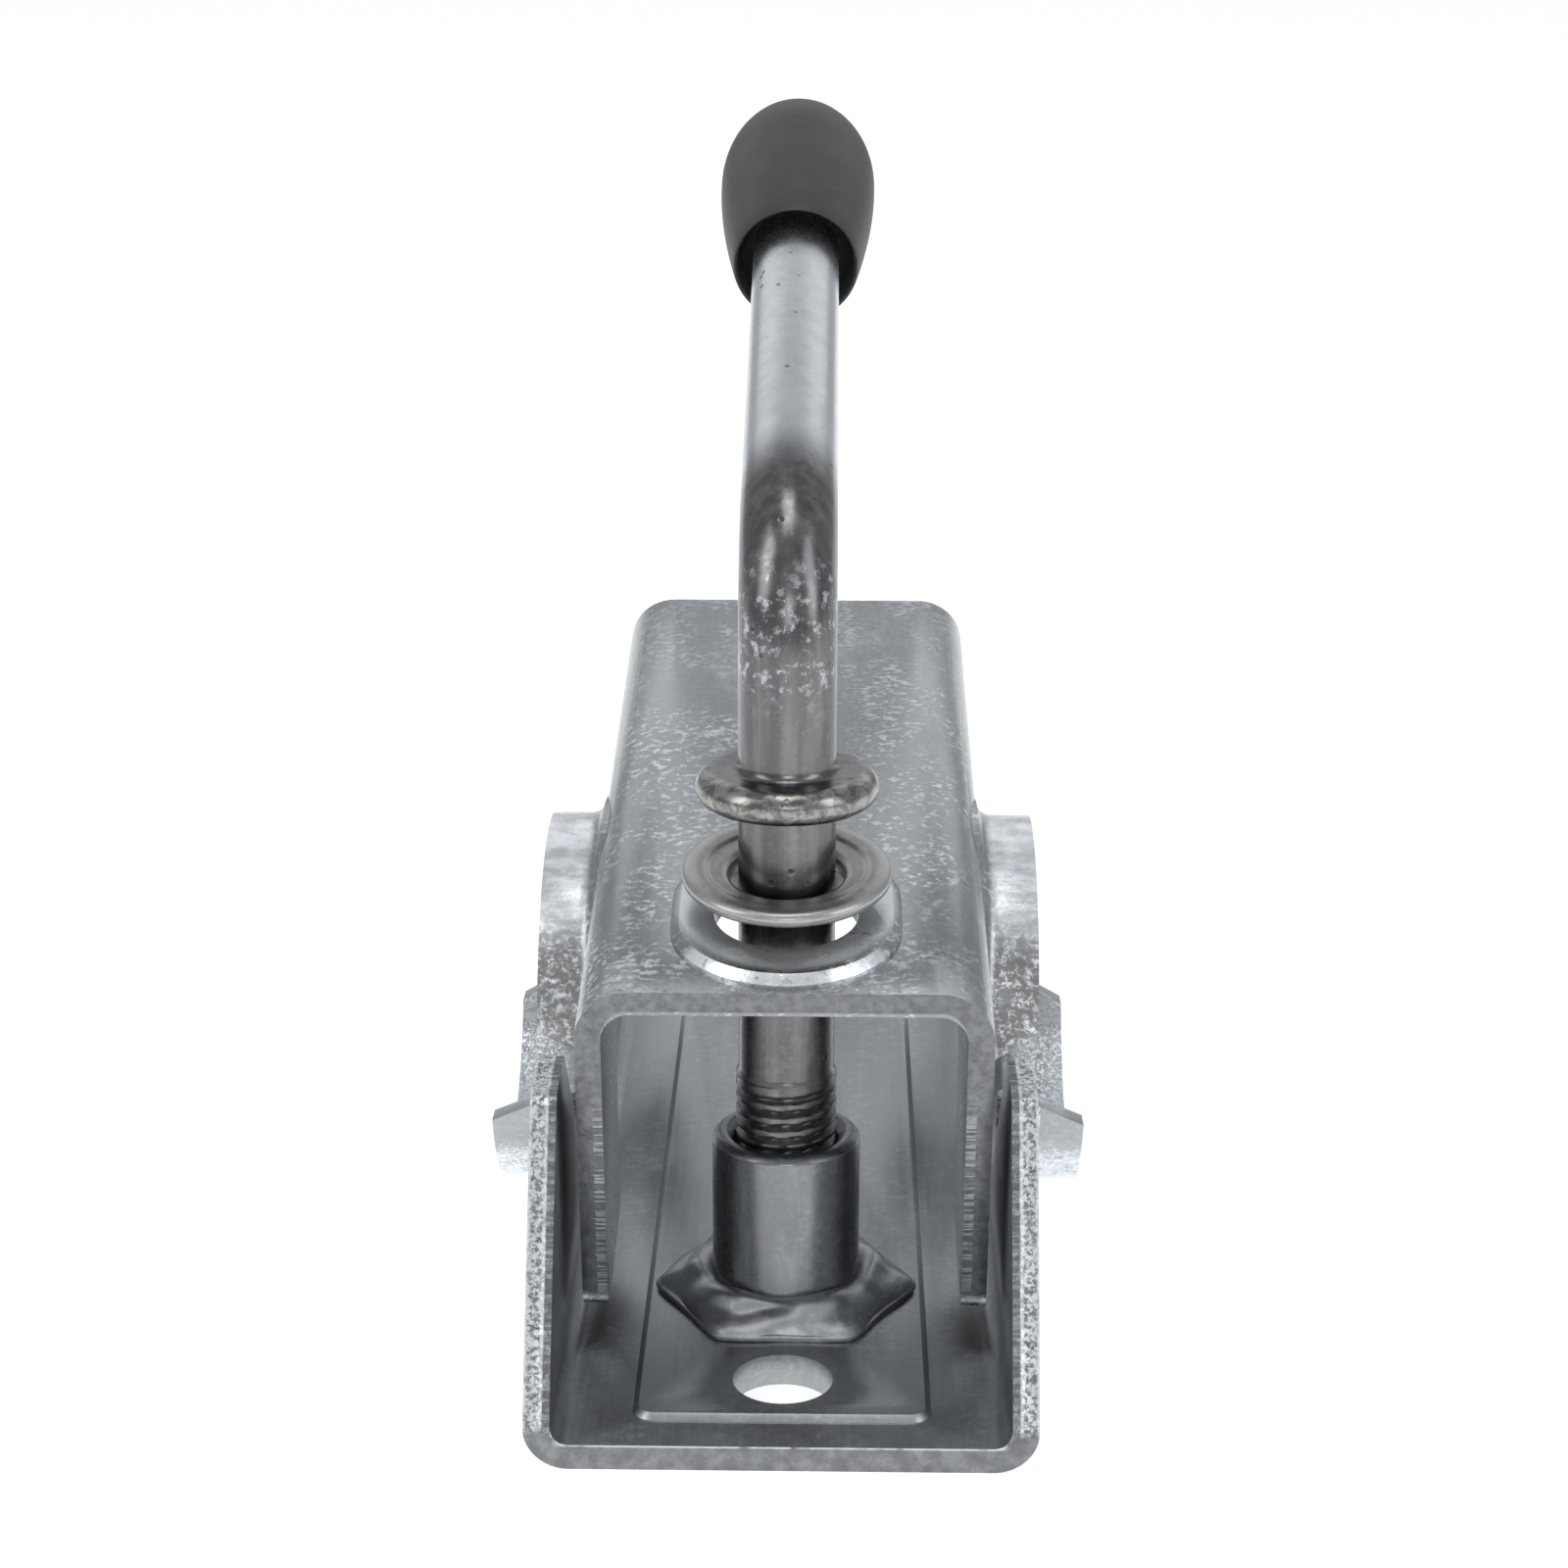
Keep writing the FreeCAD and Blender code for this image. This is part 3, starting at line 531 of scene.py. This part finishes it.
# %% Softened copies
FLAT_WITHIN, SHARP_ABOVE = 0.6, 38


def softened(node, name, width):
    """A copy of a CAD node with flat faces merged and its sharp edges rounded."""
    piece = welded_copy(node, name)
    edit_all()
    bpy.ops.mesh.dissolve_limited(angle_limit=math.radians(FLAT_WITHIN))
    bpy.ops.object.mode_set(mode="OBJECT")
    reshape(piece, "BEVEL", width=width, segments=2, limit_method="ANGLE",
            angle_limit=math.radians(SHARP_ABOVE), use_clamp_overlap=True, harden_normals=False)
    smooth(piece, angle=32)
    return piece


def body_of_node(node):
    """The body that a CAD node rides on."""
    bodies = frame["record"]["behaviour"]["bodies"]
    return next(body for body, members in bodies.items() if node in members)


def stand_in(piece, node, finish):
    """Dress a piece, let it ride where the CAD node rides and show it in the node's place."""
    piece.data.materials.clear()
    piece.data.materials.append(finish)
    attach(piece, body_of_node(node))
    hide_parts(node)
    print(piece.name, len(piece.data.polygons), "faces")


for node, width in (("lower_shell", 0.32 * MM), ("upper_shell", 0.50 * MM), ("sleeve_nut", 0.25 * MM)):
    stand_in(softened(node, node + "_pressing", width), node, FINISHES[node])

# %% [markdown]
# ## The turned parts
# The crank, the washer and the grip are turned shapes, so each starts as a circle that is extruded ring
# by ring along a profile, as a lathe tool follows a template. Rings of (radius, height) are easy to read
# and to change, and they give long clean quads that carry a smooth highlight better than triangles.

# %% Lathe helper
CRANK_POINTS, WASHER_POINTS, GRIP_POINTS = 72, 96, 72


def lathe(name, rings, points, centre, closed=False):
    """Extrude a circle through (radius, height) rings in millimetres; a closed profile meets itself."""
    clear_selection()
    x, y, z = centre
    fill = "NOTHING" if closed else "NGON"
    bpy.ops.mesh.primitive_circle_add(vertices=points, radius=rings[0][0] * MM, fill_type=fill,
                                      location=(x, y, z + rings[0][1] * MM))
    piece = bpy.context.object
    piece.name = piece.data.name = name
    settle(piece)
    edit_all()
    stops = rings + (rings[:1] if closed else [])
    for (wide, low), (narrow, high) in zip(stops, stops[1:]):
        bpy.ops.mesh.extrude_region_move(TRANSFORM_OT_translate={"value": (0, 0, (high - low) * MM)})
        bpy.ops.transform.resize(value=(narrow / wide, narrow / wide, 1), center_override=centre)
    bpy.ops.mesh.select_all(action="SELECT")
    bpy.ops.mesh.remove_doubles(threshold=WELD)
    bpy.ops.mesh.normals_make_consistent(inside=False)
    bpy.ops.object.mode_set(mode="OBJECT")
    return piece


# %% [markdown]
# ## The crank
# The real crank is one bar: its end is rolled with a thread, a bead is upset on it hot, and then it is
# bent over a former. The bar is made straight in the same order. Each point of the threaded stretch is
# pulled in by a narrow groove that winds round it, and last the upper part is wrapped round the former.

# %% Crank rings
BEAD_MIDDLE, BEAD_HALF, BEAD_FLAT = 80.0, 2.4, 10.1
BEND_TURN = math.pi / 2 - ARM_RISE
BEND_REACH = BEND_RADIUS / MM * math.tan(BEND_TURN / 2)
BEND_START = ARM_CORNER / MM - BEND_REACH
BEND_LENGTH = BEND_RADIUS / MM * BEND_TURN
BEND_RINGS, BEAD_RINGS = 28, 14
ARM_STRAIGHT = (GRIP_START + GRIPPED_LENGTH) / MM - BEND_REACH
THREAD_SHOWN, THREAD_STEP = 18.0, 0.16
GROOVE_DEPTH, GROOVE_HALF, GROOVE_RUN_OUT = 0.85, 0.62, 2.6
SHANK, CREST, PITCH, TOP = (size / MM for size in (SHANK_RADIUS, THREAD_RADIUS, THREAD_PITCH, THREAD_TOP))


def crank_rings():
    """The straight bar from its peened foot to the end of the arm."""
    foot = [(5.0, 3.4), (5.5, 3.9), (5.5, 4.45), (4.6, 4.5), (4.6, 6.7), (5.9, 6.75), (6.3, 7.2)]
    steps = int((TOP - THREAD_SHOWN) / THREAD_STEP)
    thread = [(CREST, THREAD_SHOWN + THREAD_STEP * step) for step in range(steps + 1)]
    lower = [(SHANK + 0.12, 38.9), (SHANK, 39.3), (SHANK, 58.0), (SHANK, 76.6),
             (SHANK + 0.15, 77.2), (7.6, 77.6)]
    bead = []
    for step in range(BEAD_RINGS + 1):
        angle = math.pi * (step / BEAD_RINGS - 0.5)
        bead.append((BEAD_FLAT + BEAD_HALF * math.cos(angle), BEAD_MIDDLE + BEAD_HALF * math.sin(angle)))
    upper = [(7.7, 82.4), (7.1, 82.6), (SHANK + 0.1, 83.1), (SHANK, 83.8), (SHANK, BEND_START)]
    bend = [(SHANK, BEND_START + BEND_LENGTH * step / BEND_RINGS) for step in range(1, BEND_RINGS + 1)]
    arm_end = BEND_START + BEND_LENGTH + ARM_STRAIGHT
    arm = [(SHANK, arm_end - ARM_STRAIGHT / 2), (SHANK, arm_end - 1.0), (SHANK - 1.0, arm_end)]
    return foot + [(6.3, THREAD_SHOWN - 0.5)] + thread + lower + bead + upper + bend + arm


def groove(angle, height):
    """How deep the thread's groove is, in millimetres, at an angle and a height."""
    turn = (height / PITCH - angle / math.tau) % 1.0
    off = abs(turn - 0.5) * PITCH
    run_out = min(1.0, max(0.0, (TOP - height) / GROOVE_RUN_OUT))
    return GROOVE_DEPTH * run_out * min(1.0, max(0.0, 1.0 - off / GROOVE_HALF)) ** 0.9


def wrap(vertex):
    """Carry a point of the straight bar round the former and out along the arm."""
    along = vertex.co.z / MM - BEND_START
    if along <= 0:
        return
    swung = min(along / BEND_LENGTH, 1.0) * BEND_TURN
    reach = BEND_RADIUS - (vertex.co.y - SCREW_Y)
    straight = max(0.0, along - BEND_LENGTH) * MM
    vertex.co.y = SCREW_Y + BEND_RADIUS - reach * math.cos(swung) + straight * math.sin(swung)
    vertex.co.z = BEND_START * MM + reach * math.sin(swung) + straight * math.cos(swung)


# %% Crank
crank = lathe("crank_bar", crank_rings(), CRANK_POINTS, (0, SCREW_Y, 0))
for vertex in crank.data.vertices:
    x, y, height = vertex.co.x, vertex.co.y - SCREW_Y, vertex.co.z / MM
    if THREAD_SHOWN <= height <= TOP:
        radius = math.hypot(x, y)
        share = (radius - groove(math.atan2(y, x), height) * MM) / radius
        vertex.co.x, vertex.co.y = x * share, SCREW_Y + y * share
    wrap(vertex)
smooth(crank, angle=42)
stand_in(crank, "spindle", bar)

# %% [markdown]
# ## The cup washer
# Pressed from sheet: a rounded outer rim, a shallow step down inside it, and a rolled edge at the hole
# that goes on down as a short hub. It is made level and then tipped to lie parallel to the jaw.

# %% Washer
WASHER_MIDDLE = 67.6 * MM
WASHER_PROFILE = [(9.5, -1.1), (13.3, -1.1), (13.9, -0.98), (14.3, -0.6), (14.48, 0.0), (14.4, 0.45),
                  (14.15, 0.8), (13.8, 1.0), (13.3, 1.1), (12.5, 1.13), (11.7, 1.08), (11.25, 0.98),
                  (11.0, 0.80), (10.8, 0.62), (10.5, 0.52), (10.0, 0.46), (9.4, 0.46), (8.95, 0.42),
                  (8.5, 0.28), (8.15, 0.02), (7.93, -0.35), (7.84, -0.9), (7.84, -1.8), (8.3, -2.6),
                  (9.5, -2.6)]
washer = lathe("cup_washer_pressed", WASHER_PROFILE, WASHER_POINTS, (0, 0, 0), closed=True)
washer.rotation_euler = (JAW_TILT, 0, 0)
washer.location = (0, SCREW_Y, WASHER_MIDDLE)
settle(washer)
smooth(washer, angle=50)
stand_in(washer, "cup_washer", tumbled)

# %% [markdown]
# ## The grip
# A soft cap with a thin lip and a deep dark mouth, so that it can be pushed on over the bar's end. The
# profile starts inside the mouth, turns round the lip, swells along the barrel and closes over the nose.

# %% Grip rings
GRIP_WIDE, GRIP_NOSE, GRIP_LIP = 12.35, 47.6, 9.75
GRIP_MOUTH, NOSE_START = -1.1, 27.0
BARREL_RINGS, NOSE_RINGS, NOSE_QUARTER = 16, 18, 18.3


def grip_rings():
    """The cap from the inside of its mouth, round its lip and over its nose, which ends in a tiny flat."""
    rings = [(6.6, 7.0), (8.0, 6.4), (8.55, 4.5), (8.95, 1.5), (9.1, -0.9), (9.3, -1.45), (9.55, -1.5),
             (GRIP_LIP, GRIP_MOUTH)]
    for step in range(1, BARREL_RINGS + 1):
        along = step / BARREL_RINGS
        rings.append((GRIP_LIP + (GRIP_WIDE - GRIP_LIP) * math.sin(along * math.pi / 2) ** 0.92,
                      GRIP_MOUTH + (NOSE_START - GRIP_MOUTH) * along))
    for step in range(1, NOSE_RINGS + 1):
        turn = math.pi / 2 * step / NOSE_QUARTER
        rings.append((GRIP_WIDE * math.cos(turn) ** 0.95,
                      NOSE_START + (GRIP_NOSE - NOSE_START) * math.sin(turn)))
    return rings


# %% Grip
cap = lathe("soft_grip", grip_rings(), GRIP_POINTS, (0, 0, 0))
cap.rotation_euler = (ARM_RISE - math.pi / 2, 0, 0)
cap.location = (0, SCREW_Y + GRIP_START * math.cos(ARM_RISE),
                ARM_CORNER + GRIP_START * math.sin(ARM_RISE))
settle(cap)
smooth(cap, angle=60)
stand_in(cap, "grip", soft_black)

# %% [markdown]
# ## The crushed pocket round the nut
# The base was pushed up round the nut's six-sided foot, so the metal has a soft hexagon's plan, a
# ridge at each corner and a lip that closed unevenly on the barrel. It starts as a ring of points,
# is extruded inwards step by step, and each step is then pulled to its six-sided, slightly uneven line.

# %% Pocket skin
POCKET_POINTS = 96
CRUSH_OUT, CRUSH_UP, RIDGE_UP, CRUSH_LUMPS = 0.9, 0.75, 0.30, 2.2
POCKET_WALL = 1.1 * MM
POCKET_STEPS = ((18.5, 4.42, 1.0), (17.7, 4.56, 0.98), (17.1, 5.0, 0.94), (16.2, 5.75, 0.84),
                (15.1, 6.55, 0.70), (13.9, 7.25, 0.52), (12.8, 7.75, 0.32), (11.9, 8.0, 0.15),
                (11.25, 7.9, 0.06), (10.85, 7.4, 0.0), (10.75, 6.2, 0.0))


def six_sided(angle, sharp):
    """The radius of a rounded hexagon, as a share of its corner radius; 0 sharpness is a circle."""
    folded = (angle + math.pi / 6) % (math.pi / 3) - math.pi / 6
    hexagon = math.cos(math.pi / 6) / math.cos(math.pi / 6 - abs(folded))
    soft = 0.955 + 0.045 * math.cos(6 * angle)
    return 1 + sharp * (0.72 * (hexagon - 1) + 0.28 * (soft - 1))


def pocket_skin():
    """The pushed-up metal round the nut."""
    clear_selection()
    bpy.ops.mesh.primitive_circle_add(vertices=POCKET_POINTS, radius=POCKET_STEPS[0][0] * MM,
                                      location=(0, SCREW_Y, POCKET_STEPS[0][1] * MM))
    piece = bpy.context.object
    piece.name = piece.data.name = "nut_pocket"
    settle(piece)
    edit_all()
    for (wide, low, _), (narrow, high, _) in zip(POCKET_STEPS, POCKET_STEPS[1:]):
        bpy.ops.mesh.extrude_region_move(TRANSFORM_OT_translate={"value": (0, 0, (high - low) * MM)})
        bpy.ops.transform.resize(value=(narrow / wide, narrow / wide, 1), center_override=(0, SCREW_Y, 0))
    bpy.ops.object.mode_set(mode="OBJECT")
    for index, vertex in enumerate(piece.data.vertices):
        ring = index // POCKET_POINTS
        _, height, sharp = POCKET_STEPS[ring]
        flat = Vector((vertex.co.x, vertex.co.y - SCREW_Y))
        angle = math.atan2(flat.y, flat.x)
        around = Vector((math.cos(angle) * CRUSH_LUMPS, math.sin(angle) * CRUSH_LUMPS, ring * 0.35))
        crush = noise.noise(around)
        middle = math.sin(math.pi * ring / (len(POCKET_STEPS) - 1))
        reach = flat.length * six_sided(angle, sharp) + crush * CRUSH_OUT * MM * middle
        rise = (RIDGE_UP * math.cos(6 * angle) * middle + CRUSH_UP * crush * middle) * MM
        vertex.co.x, vertex.co.y = reach * math.cos(angle), SCREW_Y + reach * math.sin(angle)
        vertex.co.z = height * MM + (rise if ring > 0 else 0)
    reshape(piece, "SOLIDIFY", thickness=POCKET_WALL, offset=-1.0)
    reshape(piece, "SUBSURF", levels=2, render_levels=2)
    smooth(piece, angle=60)
    return piece


pocket = pocket_skin()
pocket.data.materials.append(lower_zinc)
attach(pocket, "base")
print("pocket", [round(v / MM, 1) for v in pocket.dimensions])

# %% [markdown]
# ## Floor, light and camera
# A plain pale floor, lit a little from within as a light table is, and large soft lights. Bright metal
# shows what is round it, so the lights are wide strips with darker gaps between them, which draw the
# long soft bands on the shells and the bar.

# %% Floor
clear_selection()
bpy.ops.mesh.primitive_plane_add(size=12.0, location=(0, 0, 0))
floor = bpy.context.object
floor.name = "studio_floor"
paint = Finish("floor_paint")
floor.data.materials.append(paint.set(Base_Color=grey(0.90), Roughness=0.85,
                                      Emission_Color=grey(1.0), Emission_Strength=0.56))

# %% Lights
def softbox(name, place, target, width, height, power, tint=(1, 1, 1)):
    """A rectangular light that faces its target."""
    clear_selection()
    bpy.ops.object.light_add(type="AREA", location=place)
    lamp = bpy.context.object
    lamp.name = name
    lamp.data.shape = "RECTANGLE"
    lamp.data.size, lamp.data.size_y = width, height
    lamp.data.energy = power
    lamp.data.color = tint
    lamp.visible_camera = False
    lamp.rotation_mode = "QUATERNION"
    lamp.rotation_quaternion = (Vector(target) - Vector(place)).to_track_quat("-Z", "Y")
    return lamp


AIM = (0, 0.01, 0.06)
softbox("key_left", (-0.80, -0.45, 0.70), AIM, 0.40, 0.80, 2.4, (1.0, 1.0, 0.99))
softbox("key_right", (0.85, -0.45, 0.60), AIM, 0.40, 0.80, 2.0)
softbox("front_low", (0.05, -1.05, 0.42), AIM, 0.30, 0.25, 0.9)
softbox("top_strip", (0.0, -0.15, 1.10), AIM, 0.35, 0.50, 1.5)
softbox("back_wash", (0.0, 1.20, 0.80), AIM, 1.80, 0.70, 1.8)
world = bpy.data.worlds.new("studio_world")
bpy.context.scene.world = world
world.use_nodes = True
background = world.node_tree.nodes["Background"]
background.inputs["Color"].default_value = (0.93, 0.96, 1.0, 1.0)
background.inputs["Strength"].default_value = 0.50

# %% Camera
CAMERA_PLACE = (5.5 * MM, SCREW_Y - 399.4 * MM, 207.5 * MM)
CAMERA_LENS, CAMERA_SENSOR = 71.1, 36.0
CAMERA_DOWN, CAMERA_YAW, CAMERA_ROLL = (math.radians(angle) for angle in (17.68, -0.85, 0.15))
ahead = Vector((math.sin(CAMERA_YAW) * math.cos(CAMERA_DOWN),
                math.cos(CAMERA_YAW) * math.cos(CAMERA_DOWN), -math.sin(CAMERA_DOWN)))
clear_selection()
bpy.ops.object.camera_add(location=CAMERA_PLACE)
camera = bpy.context.object
camera.name = "camera"
camera.data.lens = CAMERA_LENS
camera.data.sensor_width = CAMERA_SENSOR
camera.data.clip_start = 0.01
camera.rotation_mode = "QUATERNION"
level = ahead.to_track_quat("-Z", "Y")
camera.rotation_quaternion = Matrix.Rotation(-CAMERA_ROLL, 3, ahead).to_quaternion() @ level
bpy.context.scene.camera = camera
bpy.context.scene.view_settings.view_transform = "Standard"
